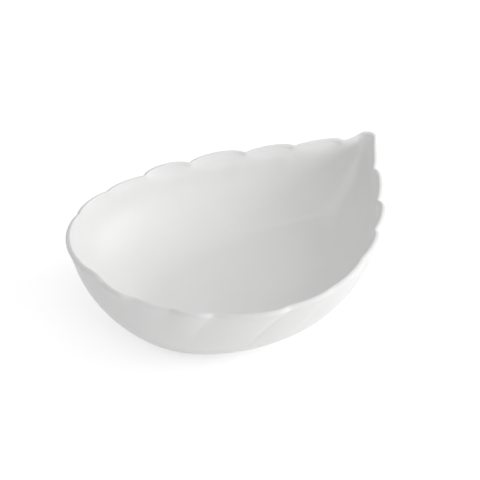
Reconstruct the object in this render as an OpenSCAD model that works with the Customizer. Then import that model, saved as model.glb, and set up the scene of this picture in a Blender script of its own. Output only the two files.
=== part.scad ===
// Leaf shaped dish: a deep scalloped leaf bowl on a low foot ring of the same leaf form.
// The leaf lies along X with its stem end at -X and its tip at +X, and Z is up.
// The foot ring rests on Z = 0, below the middle of the rim's box.

/* [Leaf outline] */
// Length of the leaf from stem end to tip, at the outer edge of the rim
leaf_length = 200; // [186:1:260]
// Width of the leaf across its fullest part, without the scallops
leaf_width = 144; // [110:0.5:190]
// Length over which the tip is blunted
tip_round = 3; // [1:0.5:10]

/* [Rim] */
// Height of the rim's outer edge above the table
rim_height = 41.5; // [28:0.5:60]
// How far the fullest scallop stands out from the leaf outline
scallop_depth = 5.2; // [0.5:0.1:6.5]
// How far the fullest scallop rises above the notches
scallop_lift = 2; // [0:0.1:3]

/* [Wall] */
// Thickness of the wall, which is also the width of the rounded lip
wall_thickness = 2.8; // [2:0.1:4.5]
// Thickness where the wall turns into the floor
heel_thickness = 4.6; // [3.6:0.1:6]
// Thickness of the floor
floor_thickness = 3.2; // [2.4:0.1:4.5]
// Height of the heel above the base, where lines along the upper and the lower wall would meet
heel_height = 12.5; // [8:0.5:20]
// Distance from the edge of the flat base to the flat of the floor inside
fillet_run = 7; // [5:0.5:16]

/* [Base] */
// Length of the flat base under the bowl
base_length = 146; // [110:1:160]
// Width of the flat base under the bowl
base_width = 70; // [56:1:96]
// Distance from the stem end of the rim to the flat base
base_setback = 22; // [15:0.5:38]
// Length over which the tip of the base is blunted
base_round = 14.5; // [8:0.5:24]

/* [Foot ring] */
// Height of the foot ring
foot_height = 2; // [1:0.25:5]
// Width of the foot ring's tread
foot_width = 3.5; // [2:0.25:5]
// Distance from the edge of the flat base to the foot ring
foot_setback = 3; // [1:0.5:6]
// Length over which the tip of the foot ring is blunted
foot_round = 30; // [24:1:50]

/* [Smoothness] */
// Steps along each scallop
lobe_steps = 8; // [5:1:9]
// Steps down each side of the wall
wall_steps = 9; // [6:1:12]
// Steps over the lip
lip_steps = 4; // [3:1:6]
// Steps along the inside curve above the floor
fillet_steps = 5; // [4:1:6]
// Steps along each side of the foot ring
foot_steps = 36; // [24:1:48]

/* [Hidden] */

// How full the stem end is on the far and the near side of the rim and at the base: the lower, the
// fuller. How drawn out the tip is, at the rim and at the base.
far_stem_share = 0.48;
near_stem_share = 0.58;
rim_tip_share = 1.085;
base_stem_share = 0.44;
base_tip_share = 0.9;

// Where the notches lie, as shares of the way round each side from the stem end to the tip.
// The far side is the +Y side, and the near side is the -Y side. The far side starts past the
// stem end, at the near side's first notch, and a share below 0 counts back round the near side.
stem_notch_share = 0.023;
far_notch_shares = [-stem_notch_share, 0.042, 0.097, 0.282, 0.376, 0.458, 0.54, 0.637, 0.729, 0.854, 1];
near_notch_shares = [stem_notch_share, 0.104, 0.17, 0.291, 0.38, 0.481, 0.559, 0.643, 0.754, 1];

// How full each scallop is, from the stem end on, and the last on both sides, which meet at the tip
far_fullness_shares = [0.4, 0.17, 0.31, 0.25, 0.26, 0.73, 0.76, 0.54, 0.48];
near_fullness_shares = [0.18, 0.66, 0.7, 0.2, 0.18, 0.46, 0.61, 0.5];
tip_fullness_share = 1;

// How the scallops lean: below 0 they are fullest nearer the stem, and above 0 nearer the tip
far_stem_lean_share = -0.45;
near_stem_lean_share = 0.6;
tip_lean_share = 0.6;

// How sharp the notches are at the rim, and where the far side starts to rise to the tip: the lower,
// the sharper. How much the flutes below them soften on the way down.
notch_share = 0.5;
far_tip_notch_share = 1.1;
flute_soft_share = 2;

// How soon the flutes fade below the rim, at the stem end of each side and at the tip
far_fade_share = 18;
near_fade_share = 6;
tip_fade_share = 3.5;

// How much sooner the flutes fade on the inside
inside_fade_share = 12;

// How far the flutes sweep back to the stem end on each side, and how soon they turn to do it
far_sweep_share = 0.02;
near_sweep_share = 0.08;
sweep_turn_share = 4;

// How far the upper wall leans in, as a share of the way from the rim to the base
wall_lean_share = 0.045;

// Share of the way down the wall at which the inside starts to turn into the floor, steps between
// the points that draw the turn, and how much it is held up, as a share of such a step
turn_start_share = 0.72;
turn_spans = 5;
turn_bow_share = 0.12;

// Beyond this share of the way round, the wall at the tip keeps one thickness along the midline
tip_hold_share = 0.9;

// How much closer the rings of the mesh lie under the rim than at the base
ring_bias_share = 1.4;

// Share of a side used to measure the slope of an outline, and places tried to find its width
slope_share = 0.001;
width_samples = 100;

underside = foot_height;

// Fullness of a leaf at share s of its length
function fullness(s, stem, tip, blunt) = pow(s, stem) * pow((1 - s) * (1 - s + blunt), tip / 2);

function fullest(stem, tip, blunt) =
    max([for (i = [0 : width_samples]) fullness(i / width_samples, stem, tip, blunt)]);

// A leaf is [start, length, width, stem shares of the far and the near side, tip share, blunting
// share, greatest fullness of the far and the near side]
function leaf(start, length, width, stems, tip, blunting) =
    let (blunt = blunting / length)
    [start, length, width, stems, tip, blunt, [for (stem = stems) fullest(stem, tip, blunt)]];

base_stem_shares = [base_stem_share, base_stem_share];
rim = leaf(0, leaf_length, leaf_width, [far_stem_share, near_stem_share], rim_tip_share, tip_round);
base = leaf(base_setback, base_length, base_width, base_stem_shares, base_tip_share, base_round);
foot = leaf(
    base_setback + foot_setback,
    base_length - 2 * foot_setback,
    base_width - 2 * foot_setback,
    base_stem_shares,
    base_tip_share,
    foot_round
);

// Which side of the leaf a place lies on: 0 for the far side and 1 for the near side
function true_side(side, t) = (side > 0) == (t >= 0) ? 0 : 1;

// Point of a leaf at share t of the way round one side. Places are closer together at both ends.
function outline(o, side, t) =
    let (i = true_side(side, t))
    let (s = (1 - cos(180 * t)) / 2)
    let (half = fullness(s, o[3][i], o[4], o[5]) / o[6][i] * o[2] / 2)
    [o[0] + o[1] * s, side * (t < 0 ? -half : half)];

// Outward direction of a leaf at share t
function outward(o, side, t) =
    let (run = outline(o, side, min(1, t + slope_share)) - outline(o, side, t - slope_share))
    side * [-run[1], run[0]] / norm(run);

// Points along scallop i: [share of the way round, side, shape of the scallop there, its fullness].
// The shape goes from 0 at the notches to 1. The scallop that ends at the tip is fullest there.
function scallop(notches, side, i, fullness) =
    let (middle = (notches[i] + notches[i + 1]) / 2)
    let (s = (1 - cos(180 * middle)) / 2)
    let (stem_lean = side > 0 ? far_stem_lean_share : near_stem_lean_share)
    let (lean = stem_lean * (1 - s) + tip_lean_share * s)
    let (last = i == len(notches) - 2)
    let (turn = last ? 90 : 180)
    let (sharpness = last && side > 0 ? far_tip_notch_share : notch_share)
    [
        for (k = [0 : lobe_steps - 1])
            let (w = (1 - cos(180 * k / lobe_steps)) / 2)
            let (t = notches[i] + (notches[i + 1] - notches[i]) * w * (1 + lean * (1 - w)))
            [t, side, pow(sin(turn * w), sharpness), fullness]
    ];

function side_places(notches, side, fullness) = [
    for (i = [0 : len(notches) - 2])
        each scallop(notches, side, i, i < len(fullness) ? fullness[i] : tip_fullness_share)
];

// Places all the way round: the far side, the tip, and the near side back to the stem end
near_places = side_places(near_notch_shares, -1, near_fullness_shares);
places = concat(
    side_places(far_notch_shares, 1, far_fullness_shares),
    [[1, 1, 1, tip_fullness_share]],
    [for (i = [len(near_places) - 1 : -1 : 1]) near_places[i]]
);

// How much of the scallop is left at share v of the way down, as a flute that softens and fades
function relief(place, v) =
    let (s = (1 - cos(180 * place[0])) / 2)
    let (stem_fade = place[1] > 0 ? far_fade_share : near_fade_share)
    let (fade = tip_fade_share + (stem_fade - tip_fade_share) * (1 - s * s))
    place[3] * pow(place[2], 1 + flute_soft_share * v) * pow(1 - v, fade);

// The place to which a flute has swept at share v of the way down
function swept(place, v) =
    let (sweep = [far_sweep_share, near_sweep_share][true_side(place[1], place[0])])
    place[0] - sweep * (1 - pow(1 - v, sweep_turn_share)) * sin(180 * place[0]);

// A section of the wall through a point of a flute runs from the rim to the base: [rim point,
// inward direction, length, outward direction, how much thicker the wall is along the section,
// what is left of the scallop]
function section(place, v) =
    let (side = place[1])
    let (t = swept(place, v))
    let (held = min(t, tip_hold_share))
    let (edge = outline(rim, side, t))
    let (way = outline(base, side, t) - edge)
    let (held_way = outline(base, side, held) - outline(rim, side, held))
    let (slant = -held_way * outward(rim, side, held) / norm(held_way))
    [edge, way / norm(way), norm(way), outward(rim, side, t), 1 / slant, relief(place, v)];

// The wall's outer face in a section, as [distance in from the rim, height above the base]
wall_drop = rim_height - underside;
function face_in(c, v) = c[2] * (2 * v * (1 - v) * wall_lean_share + v * v);
function face_up(v) = wall_drop * (1 - v) * (1 - v) + 2 * v * (1 - v) * heel_height;

// Direction of the face down the wall, and square to it into the bowl
function face_down(c, v) =
    let (along = c[2] * (2 * (1 - 2 * v) * wall_lean_share + 2 * v))
    let (fall = 2 * wall_drop * (1 - v) - 2 * (1 - 2 * v) * heel_height)
    [along, -fall] / norm([along, fall]);
function face_square(c, v) =
    let (down = face_down(c, v))
    [-down[1], down[0]];

// Thickness of the wall at share v of the way down
function thick(v) = wall_thickness + (heel_thickness - wall_thickness) * v * v;

// Point of the bowl at a place in a section, moved out and up by what is left of the scallop
function bowl_point(c, in, up, left) =
    let (plan = c[0] + c[1] * in + c[3] * scallop_depth * left)
    [plan[0], plan[1], underside + up + scallop_lift * left];

function outer_point(place, v) =
    let (c = section(place, v))
    bowl_point(c, face_in(c, v), face_up(v), c[5]);

function inner_place(c, v) =
    let (square = face_square(c, v) * thick(v))
    [face_in(c, v) + square[0] * c[4], face_up(v) + square[1]];

function inner_point(place, v) =
    let (c = section(place, v))
    let (at = inner_place(c, v))
    bowl_point(c, at[0], at[1], c[5] * pow(1 - v, inside_fade_share));

// The lip is half a circle over the top of the wall
function lip_point(place, a) =
    let (c = section(place, 0))
    let (square = face_square(c, 0) * wall_thickness / 2)
    let (up = -face_down(c, 0) * wall_thickness / 2)
    bowl_point(
        c,
        face_in(c, 0) + square[0] * c[4] * (1 - cos(a)) + up[0] * sin(a),
        face_up(0) + square[1] * (1 - cos(a)) + up[1] * sin(a),
        c[5]
    );

// Point at share w of a smooth curve drawn by any number of points
function curve(p, w) =
    len(p) == 1 ? p[0] : curve([for (i = [0 : len(p) - 2]) p[i] * (1 - w) + p[i + 1] * w], w);

// The inside turns softly from the wall to the flat of the floor, with no crease at either end
function turn_point(place, w) =
    let (c = section(place, turn_start_share))
    let (start = inner_place(c, turn_start_share))
    let (down = face_down(c, turn_start_share))
    let (step = (c[2] + fillet_run - start[0]) / turn_spans)
    let (first = start[1] + step * down[1] / down[0])
    let (second = start[1] + step * (2 * down[1] / down[0] + turn_bow_share))
    let (flat = floor_thickness)
    let (up = curve([start[1], max(first, flat), max(second, flat), flat, flat, flat], w))
    let (left = c[5] * pow(1 - turn_start_share, inside_fade_share))
    bowl_point(c, start[0] + turn_spans * step * w, up, left * (1 - w) * (1 - w));

// Rings of points from the base up the outside, over the lip and down the inside to the floor
function ring_share(k) = pow(k / wall_steps, ring_bias_share);
bowl_rings = concat(
    [for (k = [0 : wall_steps]) [for (place = places) outer_point(place, ring_share(wall_steps - k))]],
    [for (k = [1 : lip_steps - 1]) [for (place = places) lip_point(place, 180 * k / lip_steps)]],
    [for (k = [0 : wall_steps]) [for (place = places) inner_point(place, turn_start_share * ring_share(k))]],
    [for (k = [1 : fillet_steps]) [for (place = places) turn_point(place, k / fillet_steps)]]
);

ring_size = len(places);
ring_count = len(bowl_rings);

// Two triangles between neighbouring points of neighbouring rings
function band(k, i) =
    let (j = (i + 1) % ring_size)
    let (low = k * ring_size)
    let (high = low + ring_size)
    [[low + i, high + j, high + i], [low + i, low + j, high + j]];

bowl_faces = concat(
    [for (k = [0 : ring_count - 2], i = [0 : ring_size - 1]) band(k, i)[0]],
    [for (k = [0 : ring_count - 2], i = [0 : ring_size - 1]) band(k, i)[1]],
    [[for (i = [ring_size - 1 : -1 : 0]) i]],
    [[for (i = [0 : ring_size - 1]) (ring_count - 1) * ring_size + i]]
);

// The part stands with the middle of the rim's box over the origin
rim_edge = bowl_rings[wall_steps];
rim_x = [for (p = rim_edge) p[0]];
rim_y = [for (p = rim_edge) p[1]];
middle = [-(min(rim_x) + max(rim_x)) / 2, -(min(rim_y) + max(rim_y)) / 2];

// One side of the foot ring's outline, moved in by a distance square to it
function foot_side(side, inset, order) = [
    for (i = order)
        let (t = i / foot_steps)
        outline(foot, side, t) - inset * outward(foot, side, t)
];

function foot_outline(inset) = concat(
    foot_side(1, inset, [0 : foot_steps]),
    foot_side(-1, inset, [foot_steps - 1 : -1 : 1])
);

module leaf_bowl() {
    color("white")
        translate(middle)
            polyhedron(points = [for (ring = bowl_rings) each ring], faces = bowl_faces);
}

module foot_ring() {
    color("ivory")
        translate(middle)
            linear_extrude(height = foot_height)
                difference() {
                    polygon(foot_outline(0));
                    polygon(foot_outline(foot_width));
                }
}

leaf_bowl();
foot_ring();
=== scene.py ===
"""Looks of the leaf shaped dish: a glazed white bowl with a scalloped rim, on a bare foot ring."""

import math
from collections import namedtuple

import bpy
import numpy as np
from mathutils import Matrix, Vector


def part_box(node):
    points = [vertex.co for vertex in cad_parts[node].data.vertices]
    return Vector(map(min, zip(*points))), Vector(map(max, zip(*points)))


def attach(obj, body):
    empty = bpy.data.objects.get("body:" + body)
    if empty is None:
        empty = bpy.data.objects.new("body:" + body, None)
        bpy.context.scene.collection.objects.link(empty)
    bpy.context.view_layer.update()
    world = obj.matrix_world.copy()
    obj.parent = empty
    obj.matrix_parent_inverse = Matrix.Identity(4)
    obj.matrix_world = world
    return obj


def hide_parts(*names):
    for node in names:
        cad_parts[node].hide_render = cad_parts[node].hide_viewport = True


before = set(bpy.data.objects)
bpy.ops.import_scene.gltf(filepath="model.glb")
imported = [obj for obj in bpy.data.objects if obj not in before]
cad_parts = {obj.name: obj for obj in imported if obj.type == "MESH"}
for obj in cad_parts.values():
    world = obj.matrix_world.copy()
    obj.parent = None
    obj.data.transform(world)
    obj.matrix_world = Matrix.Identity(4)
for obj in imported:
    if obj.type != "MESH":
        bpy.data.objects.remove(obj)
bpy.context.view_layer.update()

# The dish is worked out in millimetres and made in metres
MM = 0.001

# Leaf outlines: the leaf lies along X from its stem end to its tip. The larger its stem and tip shares, the
# slimmer it is at that end, and the far side's stem share comes first. The blunting is a length at the tip.
# The rim is a hair slimmer than the solid's, so that the finer mesh stays inside the solid's box.
Leaf = namedtuple("Leaf", "start length width stem_shares tip_share blunting")
RIM = Leaf(start=0.0, length=200.0, width=143.9, stem_shares=(0.48, 0.58), tip_share=1.085, blunting=3.0)
BASE = Leaf(start=22.0, length=146.0, width=70.0, stem_shares=(0.44, 0.44), tip_share=0.9, blunting=14.5)
FOOT_SETBACK = 3.0
FOOT = Leaf(
    start=BASE.start + FOOT_SETBACK,
    length=BASE.length - 2 * FOOT_SETBACK,
    width=BASE.width - 2 * FOOT_SETBACK,
    stem_shares=BASE.stem_shares,
    tip_share=BASE.tip_share,
    blunting=30.0,
)

# The wall is a curve from the rim to the base that leans in by a share of its run and turns at the heel
RIM_HEIGHT, HEEL_HEIGHT, FOOT_HEIGHT = 41.5, 12.5, 2.0
WALL_LEAN = 0.045
LIP, HEEL_THICKNESS, FLOOR_THICKNESS = 2.8, 4.6, 3.2

# How far the fullest scallop stands out and up
SCALLOP_DEPTH, SCALLOP_LIFT = 5.2, 2.0

# The fillet inside: the share of the way down the wall at which it starts, how far it runs on to the floor,
# and how much it bows
FILLET_START, FILLET_RUN, FILLET_BOW = 0.72, 7.0, 0.12

# The foot ring's outer edge from the bowl down to the tread, as distance in from the edge and height. The
# inner edge mirrors it.
FOOT_WIDTH = 3.5
FOOT_EDGE = ((0.0, FOOT_HEIGHT), (0.15, 0.9), (0.45, 0.35), (1.0, 0.06))

# The floor inside closes on this stretch of the leaf's middle line
SPINE_START, SPINE_END = 70.0, 130.0

# Notches, as shares of the way round each side from the stem end to the tip, and each scallop's fullness.
# The first notch is the same for both sides, and lies a little way round the near side.
STEM_NOTCH = 0.023
FAR_NOTCHES = (-STEM_NOTCH, 0.042, 0.085, 0.282, 0.376, 0.458, 0.54, 0.637, 0.729, 0.854, 1)
NEAR_NOTCHES = (STEM_NOTCH, 0.104, 0.17, 0.291, 0.38, 0.481, 0.559, 0.643, 0.754, 1)
FAR_FULLNESS = (0.4, 0.17, 0.31, 0.25, 0.26, 0.73, 0.76, 0.54, 0.48, 1)
NEAR_FULLNESS = (0.18, 0.66, 0.7, 0.2, 0.18, 0.46, 0.61, 0.5, 1)

# How far the scallops lean, and the power that shapes them. With a larger one they rise more slowly from
# their notches.
FAR_STEM_LEAN, NEAR_STEM_LEAN, TIP_LEAN = -0.45, 0.6, 0.6
NOTCH_POWER, FAR_TIP_POWER = 0.5, 1.1

# The far side's scallop that stands higher than its neighbours, and by how much
HIGH_SCALLOP, HIGH_SCALLOP_RISE = 1, 1.7

# How the flutes soften and fade down the wall, and how far they sweep to the stem
FLUTE_SOFT = 2.0
FAR_FADE, NEAR_FADE, TIP_FADE, INSIDE_FADE = 18.0, 6.0, 3.5, 12.0
FAR_SWEEP, NEAR_SWEEP, SWEEP_BEND = 0.02, 0.08, 4.0

# Fine creases below the notches: how strong each one is, leaving out the first and the last notch, how wide
# it is, and how far before its notch it lies on the way round
Crease = namedtuple("Crease", "side notches strengths width shift")
CREASES = (
    Crease(1, FAR_NOTCHES, (0.0, 0.0, 0.2, 0.2, 0.3, 0.5, 0.8, 0.8, 0.0), 2.4, 3.0),
    Crease(-1, NEAR_NOTCHES, (0.0, 0.35, 1.2, 0.5, 0.3, 0.3, 0.3, 0.2), 0.9, 0.0),
)
CREASE_DEPTH, CREASE_SPREAD, CREASE_FADE, CREASE_START = 0.8, 1.5, 2.5, 0.1

# How far the glaze rounds the notches at the rim, and how much softer the flutes are at the foot of the wall
NOTCH_BLUR, INNER_NOTCH_BLUR, SOFT_NOTCH_BLUR = 0.5, 0.6, 1.6
FLUTE_BLUR, INSIDE_BLUR = 8.0, 30.0

# The notches are softest round the stem end and along the near side: the places run from the near side's tip
# (-1) past the stem end (0) to the far side's tip (1)
SOFT_PLACES, SOFT_SHARES = (-0.62, -0.5, 0.05, 0.08), (0, 1, 1, 0)

# How much rounder the inside is than the outside, from a share of the way down the wall
INNER_ROUND, INNER_ROUND_SHARE = 5.0, 0.3

# Share of the way over the lip at which its crest lies, from the outside to the inside
LIP_CREST = 0.7

# Fineness of the mesh, and how strongly its rings gather towards the rim
SCALLOP_STEPS, WALL_STEPS, LIP_STEPS, INNER_STEPS, FILLET_STEPS, FLOOR_STEPS = 18, 30, 12, 24, 24, 12
FOOT_STEPS = 120
RING_BIAS = 1.4

# Fineness of the sums behind it, and the share of the way past which the wall's slant is held, as the leaf
# has no clear side at its very tip
BLUR_SAMPLES, PEAK_SAMPLES = 6000, 101
SLOPE_STEP = 0.001
TIP_HOLD = 0.9

# Materials: colours, roughness, the scale and detail of each noise, and the strength of each bump with its
# height in metres
GLAZE_DARK, GLAZE_LIGHT = (0.86, 0.86, 0.855), (0.9, 0.9, 0.895)
GLAZE_SMOOTHEST, GLAZE_ROUGHEST, GLAZE_IOR = 0.36, 0.46, 1.5
GLAZE_TONE, GLAZE_SHEEN, GLAZE_RIPPLE = (26.0, 3.0), (60.0, 3.0), (190.0, 2.0)
RIPPLE_HEIGHT, RIPPLE_STRENGTH = 0.00008, 0.5
CLAY_DARK, CLAY_LIGHT, CLAY_ROUGHNESS = (0.76, 0.74, 0.7), (0.86, 0.845, 0.81), 0.85
CLAY_GRAIN = (700.0, 6.0)
GRAIN_HEIGHT, GRAIN_STRENGTH = 0.0002, 0.6

# Stage: the floor is lifted to white, and the world is white, where the camera or a reflection shows them
FLOOR_SIZE, FLOOR_COLOUR, FLOOR_ROUGHNESS, FLOOR_LIFT = 8.0, (0.9, 0.9, 0.9), 0.9, 0.47
WORLD_LIGHT, WORLD_SEEN = 0.47, 1.0

# Lamps round the dish: azimuth and elevation in degrees, distance and size in metres, energy in watts
LAMPS = {
    "key": (57.0, 30.0, 1.2, 0.85, 4.35),
    "right_fill": (30.0, 20.0, 1.6, 0.6, 2.8),
    "low_fill": (-10.0, 7.0, 1.6, 0.8, 4.8),
    "stem_fill": (-60.0, 30.0, 1.6, 0.9, 1.4),
    "top_fill": (0.0, 80.0, 1.6, 1.2, 1.8),
}
LAMP_TARGET = Vector((0, 0, 0.02))

# Camera: it looks along the turn and down by the elevation. The point at table height under the leaf's stem
# end lies so many pixels right of and above the middle of the photograph, at a distance where a pixel covers
# so many millimetres.
VIEW_TURN, VIEW_ELEVATION = math.radians(50.96), math.radians(32.483)
FOCAL_PX, PHOTO_PX, SENSOR = 1078.55, 480, 36.0
STEM_RIGHT_PX, STEM_UP_PX, PIXEL = -113.1236, -128.9007, 0.4706
CLIP_START, CLIP_END = 0.01, 20


# Shape of the leaf and its scallops. A place is a share of the way round a side, called t or at. Share s is
# of the leaf's length, v is of the way down the wall, and w is of the way along a curve.

def length_share(t):
    """Share of the leaf's length that lies behind share t of the way round a side."""
    return (1 - np.cos(np.pi * t)) / 2


def fullness(s, stem, tip, blunt):
    """Half the leaf's width at share s of its length, before it is scaled."""
    return s**stem * ((1 - s) * (1 - s + blunt)) ** (tip / 2)


def on_far_side(t, side):
    """Whether a place lies on the far side: one below 0 lies past the stem end, on the other side."""
    return (side > 0) == (t >= 0)


def outline(leaf, t, side):
    """Points of a leaf's outline."""
    side = np.asarray(side).ravel()
    s = length_share(t)
    halves = []
    for stem in leaf.stem_shares:
        shape = (stem, leaf.tip_share, leaf.blunting / leaf.length)
        peak = fullness(np.linspace(0, 1, PEAK_SAMPLES), *shape).max()
        halves.append(fullness(s, *shape) / peak * leaf.width / 2)
    half = np.where(on_far_side(t, side), *halves)
    return np.stack([leaf.start + leaf.length * s, side * np.where(t < 0, -half, half)], -1)


def outward(leaf, t, side):
    """Directions square to a leaf's outline, away from its middle."""
    run = outline(leaf, np.minimum(1, t + SLOPE_STEP), side) - outline(leaf, t - SLOPE_STEP, side)
    side = np.asarray(side).reshape(-1, 1)
    return side * np.stack([-run[:, 1], run[:, 0]], -1) / np.linalg.norm(run, axis=1, keepdims=True)


def side_places(notches, amounts, side, stem_lean, tip_power):
    """Places round one side: share of the way, side, shape of the scallop there and its fullness."""
    rows = []
    for i in range(len(notches) - 1):
        s = length_share((notches[i] + notches[i + 1]) / 2)
        lean = stem_lean * (1 - s) + TIP_LEAN * s
        last = i == len(notches) - 2
        turn, power = (math.pi / 2, tip_power) if last else (math.pi, NOTCH_POWER)
        for k in range(SCALLOP_STEPS):
            w = length_share(k / SCALLOP_STEPS)
            t = notches[i] + (notches[i + 1] - notches[i]) * w * (1 + lean * (1 - w))
            rows.append((t, side, math.sin(turn * w) ** power, amounts[i]))
    return rows


def ring_places():
    """Places all the way round, along the far side to the tip and back along the near side."""
    far = side_places(FAR_NOTCHES, FAR_FULLNESS, 1, FAR_STEM_LEAN, FAR_TIP_POWER)
    near = side_places(NEAR_NOTCHES, NEAR_FULLNESS, -1, NEAR_STEM_LEAN, NOTCH_POWER)
    tip = (1.0, 1, 1.0, 1.0)
    return np.array(far + [tip] + near[:0:-1]).T


# Every ring of the bowl has its points at these places
PLACES = ring_places()


def run_of(ring):
    """Distance run along a closed ring at each of its points, and its whole length."""
    step = np.linalg.norm(np.roll(ring, -1, axis=0) - ring, axis=1)
    return np.concatenate([[0], np.cumsum(step)[:-1]]), step.sum()


def blurred(ring, values, width):
    """Values at the points of a closed ring, blurred along it."""
    along, total = run_of(ring)
    grid = np.arange(BLUR_SAMPLES) * total / BLUR_SAMPLES
    kernel = np.exp(-0.5 * (np.minimum(grid, total - grid) / width) ** 2)
    fine = np.interp(grid, along, values, period=total)
    smooth = np.fft.irfft(np.fft.rfft(fine) * np.fft.rfft(kernel / kernel.sum()), BLUR_SAMPLES)
    return np.interp(along, grid, smooth, period=total)


def relief(v, inside):
    """What is left of the scallops at share v of the way down the wall, rounded as glaze rounds it."""
    at, side, shape, amount = PLACES
    fade = TIP_FADE + (np.where(side > 0, FAR_FADE, NEAR_FADE) - TIP_FADE) * (1 - length_share(at) ** 2)
    raw = amount * shape ** (1 + FLUTE_SOFT * v) * (1 - v) ** (fade + inside * INSIDE_FADE)
    ring = outline(RIM, at, side)
    widen = (FLUTE_BLUR + inside * INSIDE_BLUR) * v
    sharp = blurred(ring, raw, NOTCH_BLUR + inside * INNER_NOTCH_BLUR + widen)
    soft = blurred(ring, raw, SOFT_NOTCH_BLUR + widen)
    return sharp + (soft - sharp) * np.interp(at * side, SOFT_PLACES, SOFT_SHARES)


def high_scallop_rise(v):
    """How far the high scallop stands over its neighbours at share v of the way down the wall."""
    at, side, shape = PLACES[:3]
    on_it = (side > 0) & (at > FAR_NOTCHES[HIGH_SCALLOP]) & (at < FAR_NOTCHES[HIGH_SCALLOP + 1])
    rise = blurred(outline(RIM, at, side), HIGH_SCALLOP_RISE * shape * on_it, SOFT_NOTCH_BLUR)
    return rise * (1 - v) ** FAR_FADE


# Sections of the wall

def sections(v, inside=0):
    """Sections of the wall from the rim to the base, swept to the stem as at share v of the way down."""
    at, side = PLACES[:2]
    sweep = np.where(on_far_side(at, side), FAR_SWEEP, NEAR_SWEEP) * (1 - (1 - v) ** SWEEP_BEND)
    t = at - sweep * np.sin(np.pi * at)
    held = np.minimum(t, TIP_HOLD)
    edge = outline(RIM, t, side)
    way = outline(BASE, t, side) - edge
    held_way = outline(BASE, held, side) - outline(RIM, held, side)
    slant = -(held_way * outward(RIM, held, side)).sum(1) / np.linalg.norm(held_way, axis=1)
    length = np.linalg.norm(way, axis=1)
    return {
        "edge": edge,
        "way": way / length[:, None],
        "length": length,
        "out": outward(RIM, t, side),
        "thicker": 1 / slant,
        "relief": relief(v, inside),
        "rise": high_scallop_rise(v),
    }


def face_in(cut, v):
    """How far in from the rim the wall's outer face lies."""
    return cut["length"] * (2 * v * (1 - v) * WALL_LEAN + v * v)


def face_up(v):
    """How far above the foot ring the wall's outer face lies."""
    return (RIM_HEIGHT - FOOT_HEIGHT) * (1 - v) ** 2 + 2 * v * (1 - v) * HEEL_HEIGHT


def face_down(cut, v):
    """Direction of the wall's outer face down the wall, as inward and upward parts."""
    along = cut["length"] * (2 * (1 - 2 * v) * WALL_LEAN + 2 * v)
    fall = 2 * (RIM_HEIGHT - FOOT_HEIGHT) * (1 - v) - 2 * (1 - 2 * v) * HEEL_HEIGHT
    size = np.hypot(along, fall)
    return along / size, -fall / size


def inner_place(cut, v):
    """Where the inside of the wall lies: square to the outer face, at the wall's thickness."""
    down_in, down_up = face_down(cut, v)
    thick = LIP + (HEEL_THICKNESS - LIP) * v * v
    return face_in(cut, v) - down_up * thick * cut["thicker"], face_up(v) + down_in * thick


def bowl_points(cut, inward, up):
    """Points of a ring of the bowl that lies so far in and up, with the scallops added."""
    plan = cut["edge"] + cut["way"] * inward[:, None] + cut["out"] * (SCALLOP_DEPTH * cut["relief"])[:, None]
    return np.column_stack([plan, FOOT_HEIGHT + up + SCALLOP_LIFT * cut["relief"] + cut["rise"]])


def outer_points(v):
    cut = sections(v)
    return bowl_points(cut, face_in(cut, v), np.full(len(cut["length"]), face_up(v)))


def inner_points(v):
    cut = sections(v, 1)
    return bowl_points(cut, *inner_place(cut, v))


def lip_points(angle):
    """The lip: two quarter ellipses that meet on its crest, which lies nearer to the inside."""
    cut = sections(0)
    inner_relief = relief(0, 1)
    down_in, down_up = face_down(cut, 0)
    width = LIP_CREST if angle < math.pi / 2 else 1 - LIP_CREST
    across = LIP_CREST - width * math.cos(angle)
    square_in, square_up = -down_up * LIP * cut["thicker"], down_in * LIP
    inward = face_in(cut, 0) + square_in * across - down_in * LIP / 2 * math.sin(angle)
    up = face_up(0) + square_up * across - down_up * LIP / 2 * math.sin(angle)
    cut["relief"] += (inner_relief - cut["relief"]) * across
    return bowl_points(cut, inward, up)


def bezier(controls, w):
    """Point at share w of a curve with any number of control points."""
    rest = [np.asarray(p, float) for p in controls]
    while len(rest) > 1:
        rest = [a * (1 - w) + b * w for a, b in zip(rest, rest[1:])]
    return rest[0]


def fillet_points(w):
    """The inside turns softly from the wall to the flat of the floor, with no crease at either end."""
    cut = sections(FILLET_START, 1)
    at_in, at_up = inner_place(cut, FILLET_START)
    down_in, down_up = face_down(cut, FILLET_START)
    end_in = cut["length"] + FILLET_RUN
    reach = (end_in - at_in) / 5
    inward = bezier([at_in, at_in + reach, at_in + 2 * reach, end_in - 2 * reach, end_in - reach, end_in], w)
    slope = down_up / down_in
    first = np.maximum(FLOOR_THICKNESS, at_up + slope * reach)
    second = np.maximum(FLOOR_THICKNESS, at_up + 2 * slope * reach + FILLET_BOW * reach)
    flat = np.full(len(at_up), FLOOR_THICKNESS)
    up = bezier([at_up, first, second, flat, flat, flat], w)
    cut["relief"] *= (1 - w) ** 2
    return bowl_points(cut, inward, up)


def softened(ring, width):
    """The clay fills the corner inside the tip, so the inner rings are rounder than the outer ones."""
    if width == 0:
        return ring
    return np.stack([blurred(ring, ring[:, axis], width) for axis in range(3)], -1)


def creased(points, v):
    """Points of a ring of the wall, with fine creases pressed in below the notches."""
    at, side = PLACES[:2]
    along, total = run_of(outline(RIM, at, side))
    sunk = np.zeros(len(at))
    for crease in CREASES:
        for notch, strength in zip(crease.notches[1:-1], crease.strengths):
            from_notch = np.where(side == crease.side, np.abs(at - notch), np.inf)
            gap = np.abs(along + crease.shift - along[np.argmin(from_notch)])
            gap = np.minimum(gap, total - gap)
            sunk += strength * np.exp(-0.5 * (gap / (crease.width * (1 + CREASE_SPREAD * v))) ** 2)
    out = np.column_stack([outward(RIM, at, side), np.zeros(len(at))])
    depth = CREASE_DEPTH * (1 - v) ** CREASE_FADE * min(1, v / CREASE_START)
    return points - out * (sunk * depth)[:, None]


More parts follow.
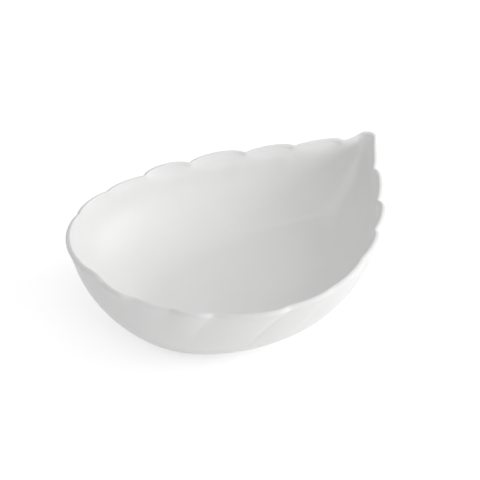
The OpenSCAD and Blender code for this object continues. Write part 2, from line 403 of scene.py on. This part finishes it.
def shrunk(ring, share):
    """A ring drawn in towards the long middle line of the floor."""
    along = np.clip(ring[:, 0], SPINE_START, SPINE_END)
    spine = np.column_stack([along, np.zeros(len(ring)), ring[:, 2]])
    return spine + (ring - spine) * share


def bowl_rings():
    """Rings of the bowl's skin: up the outside, over the lip, down the inside and across the floor."""
    rings = [creased(outer_points(v), v) for v in np.linspace(1, 0, WALL_STEPS + 1) ** RING_BIAS]
    rings += [creased(lip_points(angle), 0) for angle in np.linspace(0, math.pi, LIP_STEPS + 1)[1:-1]]
    for v in FILLET_START * np.linspace(0, 1, INNER_STEPS + 1) ** RING_BIAS:
        rings.append(creased(softened(inner_points(v), INNER_ROUND * min(1, v / INNER_ROUND_SHARE)), v))
    for w in np.linspace(0, 1, FILLET_STEPS + 1)[1:]:
        v = FILLET_START + (1 - FILLET_START) * w
        rings.append(creased(softened(fillet_points(w), INNER_ROUND), v))
    floor_edge = rings[-1]
    rings += [shrunk(floor_edge, share) for share in np.linspace(1, 0, FLOOR_STEPS + 1)[1:-1]]
    return rings


def foot_rings():
    """Rings of the foot ring's skin, from its inner edge under the tread to its outer edge."""
    outer_edge = list(FOOT_EDGE)
    inner_edge = [(FOOT_WIDTH - inset, height) for inset, height in FOOT_EDGE]
    far = np.arange(FOOT_STEPS + 1) / FOOT_STEPS
    near = far[-2:0:-1]
    rings = []
    for inset, height in inner_edge + [(FOOT_WIDTH / 2, 0.0)] + outer_edge[::-1]:
        far_edge = outline(FOOT, far, 1) - inset * outward(FOOT, far, 1)
        near_edge = outline(FOOT, near, -1) - inset * outward(FOOT, near, -1)
        edge = np.concatenate([far_edge, near_edge])
        rings.append(np.column_stack([edge, np.full(len(edge), height)]))
    return rings


def mesh_of_rings(name, rings, middle, looped=False):
    """A closed skin over rings of points: its ends are capped, or its last ring meets the first."""
    size, count = len(rings[0]), len(rings)
    points = (np.concatenate(rings) + np.array([*middle, 0])) * MM
    faces = []
    for k in range(count if looped else count - 1):
        low, high = k * size, (k + 1) % count * size
        for i in range(size):
            j = (i + 1) % size
            faces.append((low + i, high + i, high + j, low + j))
    if not looped:
        last = (count - 1) * size
        faces.append(tuple(range(size)))
        faces.append(tuple(last + i for i in range(size - 1, -1, -1)))
    mesh = bpy.data.meshes.new(name)
    mesh.from_pydata([tuple(p) for p in points], [], faces)
    mesh.update()
    mesh.polygons.foreach_set("use_smooth", [True] * len(mesh.polygons))
    return place(name, mesh)


def place(name, data):
    """Puts an object into the scene."""
    made = bpy.data.objects.new(name, data)
    bpy.context.scene.collection.objects.link(made)
    return made


# Materials

def new_material(name):
    material = bpy.data.materials.new(name)
    material.use_nodes = True
    tree = material.node_tree
    return material, tree, tree.nodes["Principled BSDF"]


def noise(tree, scale, detail):
    """Noise in the object's own coordinates, from 0 to 1."""
    coords = tree.nodes.new("ShaderNodeTexCoord")
    node = tree.nodes.new("ShaderNodeTexNoise")
    node.inputs["Scale"].default_value = scale
    node.inputs["Detail"].default_value = detail
    tree.links.new(coords.outputs["Object"], node.inputs["Vector"])
    return node.outputs["Fac"]


def span(tree, value, low, high):
    """A value from 0 to 1, spread from low to high."""
    node = tree.nodes.new("ShaderNodeMapRange")
    node.inputs["To Min"].default_value = low
    node.inputs["To Max"].default_value = high
    tree.links.new(value, node.inputs["Value"])
    return node.outputs["Result"]


def ramp(tree, value, dark, light):
    """A colour between dark and light."""
    node = tree.nodes.new("ShaderNodeMix")
    node.data_type = "RGBA"
    node.inputs["A"].default_value = (*dark, 1)
    node.inputs["B"].default_value = (*light, 1)
    tree.links.new(value, node.inputs["Factor"])
    return node.outputs["Result"]


def bump(tree, shader, value, distance, strength):
    node = tree.nodes.new("ShaderNodeBump")
    node.inputs["Distance"].default_value = distance
    node.inputs["Strength"].default_value = strength
    tree.links.new(value, node.inputs["Height"])
    tree.links.new(node.outputs["Normal"], shader.inputs["Normal"])


def shown(tree):
    """1 for rays from the camera, or by way of a glossy or a clear surface, and 0 for all others."""
    path = tree.nodes.new("ShaderNodeLightPath")
    seen = path.outputs["Is Camera Ray"]
    for kind in ("Is Glossy Ray", "Is Transmission Ray"):
        either = tree.nodes.new("ShaderNodeMath")
        either.operation = "MAXIMUM"
        tree.links.new(seen, either.inputs[0])
        tree.links.new(path.outputs[kind], either.inputs[1])
        seen = either.outputs[0]
    return seen


def glaze_material():
    """White glaze with a soft gloss, faintly uneven in tone and sheen."""
    material, tree, shader = new_material("glaze")
    tone = noise(tree, *GLAZE_TONE)
    tree.links.new(ramp(tree, tone, GLAZE_DARK, GLAZE_LIGHT), shader.inputs["Base Color"])
    sheen = span(tree, noise(tree, *GLAZE_SHEEN), GLAZE_SMOOTHEST, GLAZE_ROUGHEST)
    tree.links.new(sheen, shader.inputs["Roughness"])
    bump(tree, shader, noise(tree, *GLAZE_RIPPLE), RIPPLE_HEIGHT, RIPPLE_STRENGTH)
    shader.inputs["IOR"].default_value = GLAZE_IOR
    return material


def foot_material():
    """Bare fired clay, matt and finely grained."""
    material, tree, shader = new_material("bare_foot")
    grain = noise(tree, *CLAY_GRAIN)
    tree.links.new(ramp(tree, grain, CLAY_DARK, CLAY_LIGHT), shader.inputs["Base Color"])
    shader.inputs["Roughness"].default_value = CLAY_ROUGHNESS
    bump(tree, shader, grain, GRAIN_HEIGHT, GRAIN_STRENGTH)
    return material


# Pieces

def frame_middle(rim):
    """How far the leaf is moved, so that the middle of its rim lies over the middle of the solid bowl."""
    low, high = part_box("leaf_bowl")
    return np.array([(low.x + high.x) / 2, (low.y + high.y) / 2]) / MM - (rim.max(0) + rim.min(0)) / 2


def make_bowl(rings, middle):
    bowl = mesh_of_rings("bowl_body", rings, middle)
    bowl.data.materials.append(glaze_material())
    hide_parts("leaf_bowl")
    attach(bowl, "root")


def make_foot(middle):
    """The foot ring has soft edges and a slightly crowned tread."""
    foot = mesh_of_rings("foot_tread", foot_rings(), middle, looped=True)
    foot.data.materials.append(foot_material())
    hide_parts("foot_ring")
    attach(foot, "root")


# Stage, light and camera

def make_floor():
    """A white floor: where it is shown it is lifted to white, and it keeps the object's shadow."""
    half = FLOOR_SIZE / 2
    corners = [(-half, -half, 0), (half, -half, 0), (half, half, 0), (-half, half, 0)]
    mesh = bpy.data.meshes.new("floor")
    mesh.from_pydata(corners, [], [(0, 1, 2, 3)])
    floor = place("floor", mesh)
    material, tree, shader = new_material("floor")
    shader.inputs["Base Color"].default_value = (*FLOOR_COLOUR, 1)
    shader.inputs["Roughness"].default_value = FLOOR_ROUGHNESS
    shader.inputs["Emission Color"].default_value = (1, 1, 1, 1)
    tree.links.new(span(tree, shown(tree), 0.0, FLOOR_LIFT), shader.inputs["Emission Strength"])
    floor.data.materials.append(material)


def make_world():
    """A world that is white where it is shown, and lights the dish at a plain level."""
    world = bpy.data.worlds.new("studio")
    bpy.context.scene.world = world
    world.use_nodes = True
    tree = world.node_tree
    background = tree.nodes["Background"]
    background.inputs["Color"].default_value = (1, 1, 1, 1)
    tree.links.new(span(tree, shown(tree), WORLD_LIGHT, WORLD_SEEN), background.inputs["Strength"])


def softbox(name, azimuth, elevation, distance, size, energy):
    light = bpy.data.lights.new(name, "AREA")
    light.shape = "DISK"
    light.size = size
    light.energy = energy
    lamp = place(name, light)
    turn, rise = math.radians(azimuth), math.radians(elevation)
    back = Vector((math.sin(turn) * math.cos(rise), -math.cos(turn) * math.cos(rise), math.sin(rise)))
    lamp.location = LAMP_TARGET + back * distance
    lamp.rotation_mode = "QUATERNION"
    lamp.rotation_quaternion = (lamp.location - LAMP_TARGET).to_track_quat("Z", "Y")


def make_camera(middle):
    """The photograph's camera, placed from where the leaf's stem end lies in the picture."""
    data = bpy.data.cameras.new("camera")
    camera = place("camera", data)
    flat, fall = math.cos(VIEW_ELEVATION), math.sin(VIEW_ELEVATION)
    right = Vector((math.cos(VIEW_TURN), -math.sin(VIEW_TURN), 0))
    ahead = Vector((math.sin(VIEW_TURN) * flat, math.cos(VIEW_TURN) * flat, -fall))
    up = right.cross(ahead)
    stem = STEM_RIGHT_PX * right + STEM_UP_PX * up + FOCAL_PX * ahead
    at = -PIXEL * stem + Vector((*middle, 0))
    camera.matrix_world = Matrix((
        (right.x, up.x, -ahead.x, at.x * MM),
        (right.y, up.y, -ahead.y, at.y * MM),
        (right.z, up.z, -ahead.z, at.z * MM),
        (0, 0, 0, 1),
    ))
    data.sensor_width = SENSOR
    data.lens = SENSOR * FOCAL_PX / PHOTO_PX
    data.clip_start, data.clip_end = CLIP_START, CLIP_END
    bpy.context.scene.camera = camera


dish_rings = bowl_rings()
dish_middle = frame_middle(dish_rings[WALL_STEPS][:, :2])
make_bowl(dish_rings, dish_middle)
make_foot(dish_middle)
make_floor()
make_world()
for lamp_name, lamp_values in LAMPS.items():
    softbox(lamp_name, *lamp_values)
make_camera(dish_middle)
bpy.context.scene.view_settings.view_transform = "Standard"
